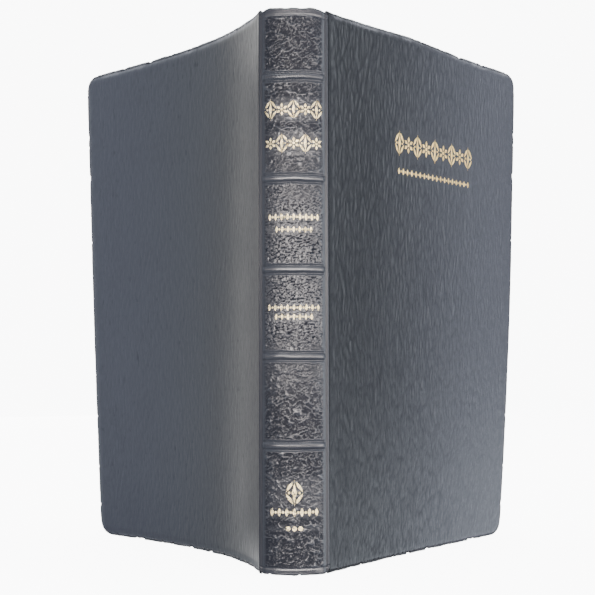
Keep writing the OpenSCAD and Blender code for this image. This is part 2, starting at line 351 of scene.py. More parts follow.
def leather(name, cell, stretch, depth, dark, light, fore_edge, gloss, shine, coat):
    """Bonded leather, painted nearly black as shade in its creases and pale as a highlight along its rounded
    edges. Its finest grain is cell wide, stretch times as long up the book, and depth deep. The tone wanders
    from dark to light and is painted lighter towards fore_edge, as light. gloss is the roughness, shine the
    specular level and coat the glaze."""
    s = Shader(name, Coat_Roughness=0.2)
    flat = s.sheet()
    fine = warped(s, s.sheet((1 / cell, 1 / (cell * stretch))), 0.9, 1.1)
    pebble = s.node("TexVoronoi", {"Vector": fine, "Scale": 1.0}, feature="DISTANCE_TO_EDGE")
    pebble = s.ramp(pebble.outputs["Distance"], 0.0, 0.2)
    pores = s.noise(flat, 5.0, 3.0, 0.6)
    s.bump(s.math("MULTIPLY_ADD", pebble, 0.8, s.math("MULTIPLY", pores, 0.2)), depth)
    cloud = s.noise(flat, 0.045, 3.0, 0.6)
    tone = s.blend(s.ramp(cloud, 0.3, 0.7), dark, light)
    # Painted light: the tone is painted lighter towards the fore-edge, standing in for the light that the
    # covers catch there.
    lit_to_fore_edge = s.blend(s.ramp(s.split(flat)[0], 10.0, 135.0), tone, fore_edge)
    hollow = s.node("Attribute", attribute_name="hollow").outputs["Fac"]
    # crease says how much painted shade falls on each point: where hollow is high, and in the valleys of the
    # grain.
    crease = s.math("MAXIMUM", hollow, s.ramp(pebble, 0.0, 1.0, 12 * depth, 0.0))
    # Painted highlight: where hollow is below 0, along the rounded edges, the leather is painted pale,
    # mottled by the pores.
    rubbed = s.math("MULTIPLY", s.ramp(hollow, 0.0, -1.0), s.ramp(pores, 0.35, 0.6, 0.35, 1.0))
    # Painted shade: the leather is painted nearly black as far as crease reaches.
    crease_shaded = s.blend(s.math("MULTIPLY", crease, 0.85), lit_to_fore_edge, CREASE_SHADE_TONE)
    s.feed("Base Color", s.blend(rubbed, crease_shaded, EDGE_HIGHLIGHT_TONE))
    mottle = s.math("ADD", s.math("MULTIPLY", cloud, 0.5), s.math("MULTIPLY", pores, 0.5))
    worn = s.ramp(mottle, 0.25, 0.75, gloss - 0.05, gloss + 0.06)
    s.feed("Roughness", s.math("MULTIPLY_ADD", crease, 0.42, worn))
    s.feed("Specular IOR Level", s.ramp(crease, 0.0, 1.0, shine, 0.35 * shine))
    s.feed("Coat Weight", s.ramp(crease, 0.0, 0.8, coat, 0.0))
    return s.material


def gold_foil(name, colour):
    s = Shader(name, Metallic=1.0)
    flat = s.sheet()
    rub = s.ramp(s.noise(flat, 1.4, 4.0, 0.7), 0.58, 0.78)
    s.feed("Base Color", s.blend(rub, colour, tuple(0.45 * c for c in colour)))
    s.feed("Roughness", s.ramp(s.noise(flat, 3.0, 2.0), 0.3, 0.7, 0.30, 0.46))
    s.bump(s.noise(flat, 4.0, 2.0), 0.03)
    return s.material


def paper(name, colour, shade):
    """Smooth paper with its fibre and a slight mottle."""
    s = Shader(name, Specular_IOR_Level=0.25, Roughness=0.8)
    at = s.sheet()
    s.feed("Base Color", s.blend(s.ramp(s.noise(at, 0.08, 4.0, 0.65), 0.3, 0.75), colour, shade))
    s.bump(s.noise(at, 3.0, 4.0, 0.7), 0.02)
    return s.material


def printed_page(name):
    """Bible paper with two columns of grey bars where lines of type would be, a few of them red."""
    s = Shader(name, Specular_IOR_Level=0.25, Roughness=0.75)
    flat = s.sheet()
    across, up = s.split(flat)[0], s.split(flat)[1]
    line_pitch, word = 2.7, 2.1
    left_column, right_column, column_half_w = 40.0, 98.0, 26.0
    text_middle, text_half_h = 104.0, 88.0
    line = s.math("FLOOR", s.math("DIVIDE", up, line_pitch))
    bar = s.near(s.math("FRACT", s.math("DIVIDE", up, line_pitch)), 0.5, 0.20)
    shift = s.node("TexWhiteNoise", {"W": line}, noise_dimensions="1D").outputs["Value"]
    place = s.math("ADD", s.math("DIVIDE", across, word), s.math("MULTIPLY", shift, 7.0))
    in_word = s.math("FRACT", place)
    key = s.node("CombineXYZ", {"X": s.math("FLOOR", place), "Y": line}).outputs[0]
    length = s.node("TexWhiteNoise", {"Vector": key}, noise_dimensions="2D").outputs["Value"]
    inked = s.math("LESS_THAN", in_word, s.ramp(length, 0.0, 1.0, 0.62, 0.93))
    left = s.near(across, left_column, column_half_w)
    right = s.near(across, right_column, column_half_w)
    column = s.math("ADD", left, right)
    body = s.near(up, text_middle, text_half_h)
    pause = s.node("TexWhiteNoise", {"W": s.math("ADD", line, 31.7)}, noise_dimensions="1D").outputs["Value"]
    short = s.math("GREATER_THAN", s.math("ADD", pause, s.math("DIVIDE", in_word, 90.0)), 0.13)
    ink = bar
    for mask in (inked, column, body, short):
        ink = s.math("MULTIPLY", ink, mask)
    passage = s.noise(s.node("CombineXYZ", {"X": s.math("MULTIPLY", line, 0.16)}).outputs[0], 1.0)
    tint = s.blend(s.math("GREATER_THAN", passage, 0.60), (0.10, 0.09, 0.085), (0.42, 0.05, 0.04))
    sheet = s.blend(s.ramp(s.noise(flat, 0.06, 3.0), 0.3, 0.7), (0.80, 0.76, 0.65), (0.74, 0.69, 0.57))
    s.feed("Base Color", s.blend(s.math("MULTIPLY", ink, 0.72), sheet, tint))
    s.bump(s.noise(flat, 2.0, 3.0), 0.015)
    return s.material


def gilt_edge(name):
    """Gold leaf over the cut edges of the leaves, with their fine lines showing."""
    s = Shader(name, Metallic=0.85)
    flat = s.sheet()
    wear = s.ramp(s.noise(flat, 0.35, 4.0, 0.7), 0.5, 0.75)
    s.feed("Base Color", s.blend(wear, (0.72, 0.50, 0.20), (0.62, 0.50, 0.32)))
    s.feed("Roughness", s.ramp(s.noise(flat, 0.8, 3.0), 0.3, 0.7, 0.28, 0.48))
    s.bump(s.noise(flat, 6.0, 2.0), 0.03)
    return s.material


def card(name, colour):
    s = Shader(name, Roughness=0.85, Specular_IOR_Level=0.2)
    at = s.solid()
    fibre = s.ramp(s.noise(at, 1.5, 5.0, 0.8), 0.35, 0.7)
    s.feed("Base Color", s.blend(fibre, colour, tuple(0.72 * c for c in colour)))
    s.bump(s.noise(at, 4.0, 4.0, 0.8), 0.05)
    return s.material


def woven(name, colour, pitch):
    """Plain weave with the given thread pitch in millimetres."""
    s = Shader(name, Roughness=0.9, Sheen_Weight=0.3)
    x, y, z = s.split(s.solid((1 / pitch, 1 / pitch, 1 / pitch)))
    over = s.math("SINE", s.math("MULTIPLY", s.math("ADD", x, y), 2 * math.pi))
    under = s.math("SINE", s.math("MULTIPLY", z, 2 * math.pi))
    weave = s.math("MULTIPLY_ADD", s.math("MULTIPLY", over, under), 0.5, 0.5)
    # Painted shade: the cloth is painted darker where the weave sinks, in the dips between the threads.
    s.feed("Base Color", s.blend(weave, tuple(0.55 * c for c in colour), colour))
    s.bump(weave, 0.08)
    return s.material


def folded_backs(name):
    """The sewn folds side by side, with one fine line of painted shade in the gap by each section."""
    s = Shader(name, Roughness=0.8, Specular_IOR_Level=0.2)
    x = s.split(s.solid((1 / SECTION_PITCH, 1, 1)))[0]
    gap = s.ramp(s.math("ABSOLUTE", s.math("SUBTRACT", s.math("FRACT", x), 0.5)), 0.40, 0.5)
    # Painted shade: each gap between the sections is painted dark brown, where the bump sinks.
    s.feed("Base Color", s.blend(gap, (0.76, 0.71, 0.60), (0.30, 0.26, 0.20)))
    s.bump(s.math("SUBTRACT", 1.0, gap), 0.1)
    return s.material


def striped_silk(name):
    """Headband threads: bands of cream and dark silk wound round a cord."""
    s = Shader(name, Roughness=0.55, Sheen_Weight=0.4)
    x = s.split(s.sheet())[0]
    dark = s.math("GREATER_THAN", s.math("FRACT", s.math("DIVIDE", x, 2.4)), 0.5)
    strand = s.math("ABSOLUTE", s.math("SUBTRACT", s.math("FRACT", s.math("DIVIDE", x, 0.3)), 0.5))
    s.feed("Base Color", s.blend(dark, (0.72, 0.68, 0.58), (0.035, 0.035, 0.05)))
    s.bump(s.math("SUBTRACT", 1.0, s.math("MULTIPLY", strand, 2.0)), 0.08)
    return s.material


def binding_glue(name):
    s = Shader(name, Roughness=0.4)
    at = s.solid()
    mottle = s.ramp(s.noise(at, 0.6, 3.0), 0.3, 0.7)
    s.feed("Base Color", s.blend(mottle, (0.70, 0.64, 0.46), (0.60, 0.52, 0.34)))
    s.bump(s.noise(at, 0.9, 3.0), 0.15)
    return s.material


# The spine and both covers are one leather, given different tones as painted light and shade: the front
# darkest by the spine and far lighter towards its fore-edge, the back lighter towards its fore-edge, and the
# spine paler than the covers beside it.
SPINE_LEATHER = leather("spine_leather_grain", cell=0.9, stretch=0.8, depth=0.014,
    dark=(0.010, 0.011, 0.019), light=(0.016, 0.017, 0.026), fore_edge=(0.016, 0.017, 0.026),
    gloss=0.29, shine=0.5, coat=0.95)
FRONT_LEATHER = leather("front_leather_grain", cell=1.0, stretch=2.6, depth=0.025,
    dark=(0.0035, 0.0038, 0.006), light=(0.0065, 0.0068, 0.0095), fore_edge=(0.049, 0.052, 0.066),
    gloss=0.33, shine=0.32, coat=0.12)
BACK_LEATHER = leather("back_leather_grain", cell=0.9, stretch=5.0, depth=0.012,
    dark=(0.0065, 0.0068, 0.0088), light=(0.010, 0.0104, 0.0128), fore_edge=(0.022, 0.0238, 0.036),
    gloss=0.34, shine=0.35, coat=0.1)
# One gold foil in two copies, as painted light and shade: paler on the spine, as lit, and darker and deeper
# on the front, as shaded.
LIT_SPINE_GOLD = gold_foil("lit_spine_gold", (1.0, 0.82, 0.46))
SHADED_FRONT_GOLD = gold_foil("shaded_front_gold", (1.0, 0.70, 0.28))
ENDPAPER = paper("endpaper", (0.78, 0.76, 0.69), (0.70, 0.67, 0.59))
PAGE = printed_page("bible_page")
GILT = gilt_edge("gilt_edge")
FLAT_CARD = paper("flat_card", (0.38, 0.34, 0.28), (0.28, 0.25, 0.20))
KRAFT = card("kraft_paper", (0.42, 0.31, 0.19))
MULL = woven("mull_cloth", (0.72, 0.69, 0.60), 0.8)
THREAD = woven("linen_thread", (0.82, 0.79, 0.70), 0.25)
GLUE = binding_glue("spine_glue")
FOLDS = folded_backs("folded_backs")
SILK = striped_silk("headband_silk")


# ---------- slabs: covers, spine and leaves
class Slab:
    """A thin closed slab in flat coordinates (along, up, depth), with its two far corners rounded.
    depth is 0 on the outer face and grows inwards. Its points are the outer grid, then the rings round
    the edge, then the inner grid. edge is the radius of its rim, step the outer grid's step along and up,
    rings the number of strips round the rim, and coarse how many steps wide the inner face's cells are."""

    def __init__(self, start, end, low, high, thickness, step, corner=0.0, edge=0.1, rings=2, coarse=1):
        bend_r = max(corner - edge, 0.001)
        far = end - edge
        straight = np.linspace(start + edge, far - bend_r, max(2, round((end - start - corner) / step[0])))
        arc = far - bend_r + bend_r * np.sin(np.linspace(0, math.pi / 2, 8 if corner > 1 else 2))[1:]
        along = np.concatenate([straight, arc])
        past = np.clip(along - (far - bend_r), 0, bend_r)
        inset = bend_r - np.sqrt(bend_r ** 2 - past ** 2)
        rows, columns = max(2, round((high - low) / step[1])), len(along)
        share = np.linspace(0, 1, rows)[:, None]
        bottom, top = low + edge + inset, high - edge - inset
        up = bottom + (top - bottom) * share
        flat = np.stack([np.broadcast_to(along, up.shape), up], -1).reshape(-1, 2)
        grid = np.arange(rows * columns).reshape(rows, columns)
        loop = np.concatenate([grid[0], grid[1:, -1], grid[-1, -2::-1], grid[-2:0:-1, 0]])

        sideways = past / bend_r
        lean = np.stack([sideways, -np.sqrt(1 - sideways ** 2)], -1)
        out = np.zeros((rows * columns, 2))
        out[grid[0]] = lean
        out[grid[-1]] = lean * (1, -1)
        out[grid[1:-1, -1]] = (1, 0)
        out[grid[1:-1, 0]] = (-1, 0)
        out[grid[0, 0]], out[grid[-1, 0]] = (-1, -1), (-1, 1)
        outward = out[loop]
        turn = np.pi * np.arange(1, rings) / rings
        ring_flat = [flat[loop] + outward * edge * math.sin(a) for a in turn]
        ring_depth = [np.full(len(loop), thickness / 2 * (1 - math.cos(a))) for a in turn]
        ring_uv = [flat[loop] + outward * thickness / 2 * a for a in turn]

        inside, used = self.inner_cells(grid, coarse)
        n, first_inner = len(flat), len(flat) + (rings - 1) * len(loop)
        self.points = np.column_stack([np.concatenate([flat, *ring_flat, flat[used]]),
            np.concatenate([np.zeros(n), *ring_depth, np.full(len(used), thickness)])])
        self.uv = np.concatenate([flat, *ring_uv, flat[used]])
        self.outer = slice(0, n)
        self.rim = slice(n, first_inner)
        self.inner = slice(first_inner, len(self.points))
        self.rim_outward = np.tile(outward, (rings - 1, 1))
        self.rim_bulge = np.repeat(np.sin(turn), len(loop))
        self.rim_turn = np.repeat(turn / np.pi, len(loop))

        place = {old: first_inner + new for new, old in enumerate(used)}
        loops = [loop] + [n + k * len(loop) + np.arange(len(loop)) for k in range(rings - 1)]
        loops.append(np.array([place[i] for i in loop]))
        outside = grid_faces(rows, columns)
        strips = [(a[k], b[k], b[k - 1], a[k - 1])
            for a, b in zip(loops, loops[1:]) for k in range(len(loop))]
        inside = [tuple(place[i] for i in face) for face in inside]
        self.faces = outside + strips + inside
        self.kinds = [0] * len(outside) + [1] * len(strips) + [0] * len(inside)

    @staticmethod
    def inner_cells(grid, coarse):
        """Cells of the inner face, each several grid steps wide, that keep every point of the border."""
        rows, columns = grid.shape
        row_cuts = [*range(0, rows - 1, coarse), rows - 1]
        column_cuts = [*range(0, columns - 1, coarse), columns - 1]
        cells = []
        for r0, r1 in zip(row_cuts, row_cuts[1:]):
            for c0, c1 in zip(column_cuts, column_cuts[1:]):
                low_side = grid[r0, c0:c1] if r0 == 0 else [grid[r0, c0]]
                far_side = grid[r0:r1, c1] if c1 == columns - 1 else [grid[r0, c1]]
                top_side = grid[r1, c1:c0:-1] if r1 == rows - 1 else [grid[r1, c1]]
                near_side = grid[r1:r0:-1, c0] if c0 == 0 else [grid[r1, c0]]
                cells.append([int(i) for i in (*low_side, *far_side, *top_side, *near_side)][::-1])
        return cells, sorted({i for cell in cells for i in cell})


def in_cover(points, side):
    """Flat (along, up, depth) points as points of the shut book, on the front or the back cover."""
    along, up, depth = points.T
    return np.column_stack([side * (HALF - depth), HINGE_Y + along, up])


def in_spine(points):
    """Flat (along, up, depth) points wrapped on the round of the spine."""
    along, up, depth = points.T
    turn, radius = along / SPINE_R, SPINE_R - depth
    return np.column_stack([radius * np.sin(turn), SPINE_CY - radius * np.cos(turn), up])


def mirrored(faces, side):
    return faces if side == FRONT else [f[::-1] for f in faces]


# ---------- relief of the leather, in millimetres
# Rows of tooling: the height above the tail and the row's own height, then its width and its count. The
# dots at the foot have a height above the tail, a radius and a pitch.
TITLE_ROWS = ((171.5, 8.2), (158.8, 8.0))
TITLE_W, TITLE_COUNT = 22.0, 5
SMALL_ROWS = ((131.3, 2.5, 20.5, 9), (126.7, 2.2, 15.0, 7), (97.8, 2.3, 21.0, 9), (94.4, 2.2, 15.5, 7))
EMBLEM_Z, EMBLEM_W, EMBLEM_H = 30.0, 6.4, 10.4
FOOT_ROW = (22.9, 3.0, 19.5, 7)
FOOT_DOTS = (17.0, 0.85, 2.3)
FRONT_ROW_S, FRONT_ROW_Z, FRONT_ROW_W, FRONT_ROW_H = 75.0, 166.2, 59.0, 10.4
FRONT_LINE_Z, FRONT_LINE_W, FRONT_LINE_H = 154.9, 56.0, 2.6
FRONT_ROW_COUNT, FRONT_LINE_COUNT = 9, 18


def pressed(up, rows, half_width, along):
    """1 where a row of tooling presses the grain flat, 0 elsewhere."""
    flat = np.zeros_like(up)
    for z, height in rows:
        flat = np.maximum(flat, 1 - smooth(height / 2, height / 2 + 1.2, np.abs(up - z)))
    return flat * (1 - smooth(half_width, half_width + 1.5, np.abs(along)))


def spine_relief(along, up):
    """Height of the spine's leather, and how much painted shade each point takes: in its cracks, between its
    ridges and along its margins, where the leather is also made less glossy.
    """
    across = np.abs(along)
    ends = 1 - smooth(10.8, 12.6, across)
    relief = np.zeros_like(along)
    clear = smooth(2.4, 3.2, up) * (1 - smooth(COVER_H - 3.6, COVER_H - 2.8, up))
    for z in BAND_Z:
        dz = np.abs(up - z + 0.25 * (soft_noise(along / 5, up * 0, z) - 0.5))
        bead = 0.62 * (1 - smooth(0.55, 1.25, dz))
        gutter = 0.14 * bulge(dz, 2.15, 0.35) - 0.26 * bulge(dz, 1.45, 0.38)
        relief += ends * (bead + gutter)
        clear *= smooth(1.9, 2.6, dz)
    panel = clear * (1 - smooth(10.7, 11.7, across))
    rows = [*TITLE_ROWS, *[row[:2] for row in SMALL_ROWS], (EMBLEM_Z, EMBLEM_H), FOOT_ROW[:2], FOOT_DOTS[:2]]
    panel *= 1 - 0.3 * pressed(up, rows, 9.5, along)
    # Down the spine the grain changes from sharp ridges to plateaus with cracks between them, and back.
    plateau = bulge(up, 112.0, 34.0) * (0.5 + soft_noise(along / 8, up / 9, 15))
    wide_cracks, fine_cracks = grain(along, up, 2.0, 0.58, 11, 0.17), grain(along, up, 1.2, 0.7, 23, 0.16)
    cracks = np.minimum(wide_cracks, 0.6 * fine_cracks)
    fold, thread = ridges(along / 1.6, up / 0.9, 29), ridges(along / 0.95, up / 0.65, 33)
    share = np.clip(plateau, 0.08, 1)
    wrinkle = 0.24 * fold + 0.12 * thread
    relief += panel * (share * (0.24 * cracks + 0.16) + (1.1 - share) * (wrinkle - 0.01))
    relief += 0.12 * (soft_noise(along / 7, up / 11, 4) - 0.5) * ends
    # The ridge where the leather folds into the cover, the groove beside it, and those by head and tail.
    relief += 0.16 * bulge(across, 13.3, 0.35) - 0.16 * bulge(across, 12.2, 0.40)
    relief -= 0.20 * bulge(up, COVER_H - 3.1, 0.32) + 0.16 * bulge(up, 2.5, 0.32)
    # Painted shade: between the ridges, in the cracks and along the margins the leather is painted darker
    # and made less glossy, so that the ridges and plateaus stand out as lit.
    dull_and_shaded = (1 - share) * 0.82 * (1 - np.maximum(fold, 0.7 * thread))
    cracked = smooth(0.30, 0.95, -cracks) * np.minimum(1, 1.6 * share)
    margin = 0.45 * smooth(10.2, 11.4, across)
    return relief, np.maximum(panel * np.maximum(cracked, dull_and_shaded), margin)


def edge_chips(path):
    """Noise along an edge that says where its leather is chipped."""
    return soft_noise(path / 1.9, path * 0 + 3, 71)


def cover_relief(along, up, side):
    """Height of a cover's leather, and how much painted shade each point takes in its creases, pits and
    chips, or below 0 how much painted highlight it takes along its rounded edges. The front is long-grained,
    most by the spine; the back is nearly smooth, with fine upright lines."""
    swell = 0.6 * (soft_noise(along / 38, up / 52, 7 + side) - 0.5) * smooth(2, 30, along)
    to_edge = np.minimum(np.minimum(up, COVER_H - up), COVER_W - along)
    rounding = np.clip(1 - to_edge / 3.4, 0, 1) ** 1.2 * smooth(1.0, 6.0, along)
    bevel = -0.62 * rounding
    # Painted highlight: the rounded edge is painted pale, in patches, most of all along the head, where the
    # light from above falls.
    rubbed = smooth(0.05, 0.4, rounding) * (0.25 + 0.75 * smooth(COVER_H - 20, COVER_H - 3, up))
    rubbed *= 0.25 + 0.75 * soft_noise(along / 6 + side, up / 6, 77)
    inside = smooth(0.0, 2.5, along) * smooth(0.4, 2.6, to_edge)
    crease = -0.10 * bulge(along, 2.6, 0.8)
    # The chips are nicked into the edge, and their hollows are painted dark as shade.
    chip = smooth(0.80, 0.92, edge_chips(along + up)) * (1 - smooth(0.5, 1.6, to_edge))
    chip *= smooth(2.0, 8.0, along)
    bevel -= 0.30 * chip
    if side == BACK:
        fine, broad = grain(along, up, 1.5, 5.0, 41), grain(along, up, 2.8, 3.2, 43)
        pits = smooth(0.82, 0.97, soft_noise(along / 0.8, up / 3.2, 47)) * inside
        relief = swell + crease + bevel + inside * (0.04 * fine + 0.03 * broad + 0.04) - 0.04 * pits
        # Painted shade in the pits and in the creases of the grain.
        crease_shaded = np.maximum(0.3 * pits, -0.12 * inside * fine)
        return relief, np.where(chip > 0.1, chip, crease_shaded - rubbed)
    row = pressed(up, [(FRONT_ROW_Z, FRONT_ROW_H)], FRONT_ROW_W / 2, along - FRONT_ROW_S)
    line = pressed(up, [(FRONT_LINE_Z, FRONT_LINE_H)], FRONT_LINE_W / 2, along - FRONT_ROW_S)
    stamp = np.maximum(row, line)
    strength = (1.0 - 0.35 * smooth(60, 130, along)) * (1 - 0.65 * stamp)
    broad, fine = grain(along, up, 1.8, 4.8, 31), grain(along, up, 1.2, 4.2, 37)
    wrinkle = 0.12 * ridges(along / 2.0, up / 6.0, 53) * (0.5 + soft_noise(along / 9, up / 14, 57))
    relief = swell + crease + bevel + inside * strength * (0.14 * broad + 0.07 * fine + wrinkle + 0.13)
    # Painted shade in the creases of the grain, weaker where the tooling presses it flat.
    crease_shaded = -inside * strength * np.minimum(0.50 * broad, 0.40 * fine)
    return relief, np.where(chip > 0.1, chip, crease_shaded - rubbed)


def worn_edge(points):
    """How far the turned-in edge wanders and is nicked, in millimetres outwards."""
    path = points[:, 0] + points[:, 1]
    wave = 0.32 * (soft_noise(path / 4.1, path * 0, 61) - 0.5)
    ripple = 0.16 * (soft_noise(path / 1.2, path * 0, 67) - 0.5)
    nick = -0.60 * smooth(0.82, 0.95, edge_chips(path))
    return wave + ripple + nick


def tightened(distance, edge):
    """Pulls a rounded edge in to a near-square one, and spreads what lies beside it."""
    square, reach = 0.15 * edge, 4.0
    beside = square + (distance - edge) * (reach - square) / (reach - edge)
    return np.where(distance < edge, distance * square / edge, np.where(distance < reach, beside, distance))


# ---------- spine
def build_spine():
    slab = Slab(-SPINE_SPAN, SPINE_SPAN, 0, COVER_H, thickness=1.0, step=(0.25, 0.29), edge=SPINE_EDGE_R,
        rings=5, coarse=4)
    p, uv = slab.points, slab.uv
    hollow = np.zeros(len(p))
    relief, hollow[slab.outer] = spine_relief(*p[slab.outer, :2].T)
    p[slab.outer, 2] -= relief
    loop_relief = spine_relief(*p[slab.rim, :2].T)[0]
    p[slab.rim, 2] -= loop_relief * (1 - slab.rim_turn)
    p[slab.rim, :2] += slab.rim_outward * (0.6 * worn_edge(p[slab.rim]) * slab.rim_bulge)[:, None] * (0, 1)
    up, across = p[slab.inner, 1], np.abs(p[slab.inner, 0])
    head_turn = COVER_H - TURN_IN_W
    turned = 1 - smooth(TURN_IN_W - 0.6, TURN_IN_W, up) * (1 - smooth(head_turn, head_turn + 0.6, up))
    p[slab.inner, 2] = LEATHER_T + 0.85 * turned * (1 - smooth(9.8, 11.2, across))
    for z in BAND_Z:
        strip = (1 - smooth(1.2, 1.6, np.abs(up - z))) * (1 - smooth(12.0, 12.8, across))
        p[slab.inner, 2] -= 0.8 * strip
    # The head cap stands a little proud and droops towards the creases, and its leather is uneven.
    u, z = p[:, 0], p[:, 1]
    near_head = smooth(COVER_H - 6, COVER_H, z)
    near_tail = 1 - smooth(0, 5, z)
    lumps = 0.35 * (soft_noise(u / 2.6, u * 0, 81) - 0.5) + 0.12 * (soft_noise(u / 0.9, u * 0, 83) - 0.5)
    shoulders = 0.55 * bulge(u, -8.6, 2.2) + 0.35 * bulge(u, 7.2, 2.2) - 0.25
    p[:, 1] += near_head * (shoulders - 0.9 * smooth(10.3, SPINE_SPAN, np.abs(u)) + lumps)
    p[:, 1] += near_tail * 2.2 * smooth(SPINE_SPAN - 3.2, SPINE_SPAN + 0.3, np.abs(u)) ** 2
    side = SPINE_SPAN - np.abs(p[:, 0])
    p[:, 0] = np.sign(p[:, 0]) * (SPINE_SPAN - tightened(side, SPINE_EDGE_R))
    skin = make_mesh("spine_leather_skin", in_spine(p), slab.faces, SPINE_LEATHER, uv=uv, hollow=hollow)

    band_reach, band_half_h = 11.8, 0.95
    band_points, band_faces, band_uv = [], [], []
    for z in BAND_Z:
        strip = Slab(-band_reach, band_reach, z - band_half_h, z + band_half_h, thickness=0.55,
            step=(0.8, 0.6), edge=0.3, rings=4)
        strip.points[:, 2] += 0.15 + 0.35 * smooth(9.5, band_reach, np.abs(strip.points[:, 0]))
        shift = len(band_uv)
        band_faces += [tuple(i + shift for i in face) for face in strip.faces]
        band_points.extend(in_spine(strip.points))
        band_uv.extend(strip.uv)
    bands = make_mesh("card_bands", band_points, band_faces, FLAT_CARD, uv=band_uv)

    inlay_reach, low, high = 12.2, TURN_IN_W + 0.3, COVER_H - TURN_IN_W - 0.3
    stiffener = Slab(-inlay_reach, inlay_reach, low, high, thickness=0.45, step=(1.5, 8.0))
    stiffener.points[:, 2] += LEATHER_T + 0.03
    inlay = make_mesh("spine_card", in_spine(stiffener.points), stiffener.faces, FLAT_CARD, uv=stiffener.uv)
    stand_ins = ((skin, "spine_leather", "leather"), (bands, "raised_bands", "card"),
        (inlay, "spine_inlay", "card"))
    for piece, node, slot in stand_ins:
        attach(piece, "spine")
        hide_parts(node)


# ---------- covers
def build_cover(side):
    name, look = ("front", FRONT_LEATHER) if side == FRONT else ("back", BACK_LEATHER)
    line = bend_line(side, BEND[side])
    pivot = (side * HALF, HINGE_Y)
    body_t = COVER_T - ENDPAPER_T
    far_turn, head_turn = COVER_W - TURN_IN_W, COVER_H - TURN_IN_W

    def placed(flat_points):
        return opened(in_cover(flat_points, side), side, pivot, OPEN[side], line)

    slab = Slab(0, COVER_W, 0, COVER_H, body_t, step=(0.5, 0.8), corner=CORNER_R, edge=EDGE_R, rings=6,
        coarse=4)
    p = slab.points
    hollow = np.zeros(len(p))
    relief, hollow[slab.outer] = cover_relief(*p[slab.outer, :2].T, side)
    p[slab.outer, 2] -= relief
    edge_relief, hollow[slab.rim] = cover_relief(*p[slab.rim, :2].T, side)
    p[slab.rim, 2] -= edge_relief * (1 - slab.rim_turn)
    hinge_side = smooth(0.5, 6.0, p[slab.rim, 0])
    p[slab.rim, :2] += slab.rim_outward * (worn_edge(p[slab.rim]) * slab.rim_bulge * hinge_side)[:, None]
    along, up = p[slab.inner, 0], p[slab.inner, 1]
    window = smooth(2.2, 3.2, along) * (1 - smooth(far_turn - 1, far_turn, along))
    window *= smooth(TURN_IN_W, TURN_IN_W + 1.2, up) * (1 - smooth(head_turn - 1.2, head_turn, up))
    p[slab.inner, 2] -= 0.85 * window
    p[:, 0] = tightened(p[:, 0], EDGE_R)
    if side == FRONT:
        # The head of the front cover has crept up a little, midway along.
        p[:, 1] += 1.1 * bulge(p[:, 0], 58, 26) * smooth(COVER_H - 40, COVER_H, p[:, 1])
    leather_piece = make_mesh(name + "_leather_skin", placed(p), mirrored(slab.faces, side), look,
        uv=slab.uv, hollow=hollow)

    board = Slab(3.6, far_turn - 1.5, TURN_IN_W + 1.6, head_turn - 1.6, thickness=0.75, step=(4.0, 6.0),
        corner=1.0)
    board.points[:, 2] += body_t - 0.8
    board_piece = make_mesh(name + "_card", placed(board.points), mirrored(board.faces, side), FLAT_CARD,
        uv=board.uv)

    lining = Slab(0.8, COVER_W - LEATHER_BORDER, LEATHER_BORDER, COVER_H - LEATHER_BORDER,
        ENDPAPER_T - 0.02, step=(2.5, 4.0), corner=CORNER_R - 2, edge=0.08)
    lining.points[:, 2] += body_t + 0.01
    lining_piece = make_mesh(name + "_lining", placed(lining.points), mirrored(lining.faces, side), ENDPAPER,
        uv=lining.uv)

    stand_ins = ((leather_piece, "_leather", "leather"), (board_piece, "_board", "card"),
        (lining_piece, "_pastedown", "endpaper"))
    for piece, ending, slot in stand_ins:
        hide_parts(name + ending)
        blend_piece(piece)


# ---------- pages
def page_bend(side, index, shift):
    """The bend of a leaf in the section of this index, which is 1 next to the middle of the book. The
    inner sections curve more by the gutter, and shift spreads the leaves of one section."""
    at_crease, per_y, per_height = BEND[side]
    reach = FORE_EDGE_Y - HINGE_Y
    at_fore_edge = at_crease + per_y * reach
    rank = (index - 1) / (SECTIONS - 1)
    inner = 0.40 if side == FRONT else 0.27
    at_gutter = inner + (at_crease - 0.03 - inner) * rank ** 1.5
    return at_gutter + shift, (at_fore_edge - at_gutter) / reach, per_height


def build_leaf(name, side, x, pivot, angle, bend, thickness, step, looks):
    """One sheet that bends between the spine and its body, with gilt edges."""
    sheet = Slab(0, FORE_EDGE_Y - pivot[1], PAGE_INSET, PAGE_TOP, thickness, step, corner=PAGE_CORNER_R,
        edge=0.01, rings=1)
    along, up, depth = sheet.points.T
    shut = np.column_stack([side * (x + thickness / 2 - depth), pivot[1] + along, up])
    line = bend_line(side, bend)
    piece = make_mesh(name, opened(shut, side, pivot, angle, line), mirrored(sheet.faces, side), *looks,
        uv=sheet.uv, slots=sheet.kinds)
    for polygon in piece.data.polygons:
        polygon.use_smooth = polygon.material_index == 0
    blend_piece(piece)
    return piece


def build_sections():
    scatter = np.random.default_rng(12)
    for number in range(1, 2 * SECTIONS + 1):
        side = FRONT if number <= SECTIONS else BACK
        index = SECTIONS + 1 - number if side == FRONT else number - SECTIONS
        node = f"section_{number:02d}"
        share = INNER_SHARE + (OUTER_SHARE - INNER_SHARE) * (index - 1) / (SECTIONS - 1)
        angle = share * OPEN[side]
        pivot_x = SECTION_PITCH * (index - 0.5)
        pivot = (side * pivot_x, PIVOT_Y)
        pitch = SECTION_PITCH / LEAVES
        for leaf in range(LEAVES):
            offset = (leaf - (LEAVES - 1) / 2) * pitch
            shift = 0.010 * (leaf - 1) + scatter.uniform(-0.003, 0.003)
            bend = page_bend(side, index, shift)
            piece = build_leaf(f"{node}_leaves_{leaf + 1}", side, pivot_x + offset, pivot, angle, bend,
                LEAF_T, step=(6.0, 17.0), looks=(PAGE, GILT))
            if leaf == 0:
                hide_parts(node)


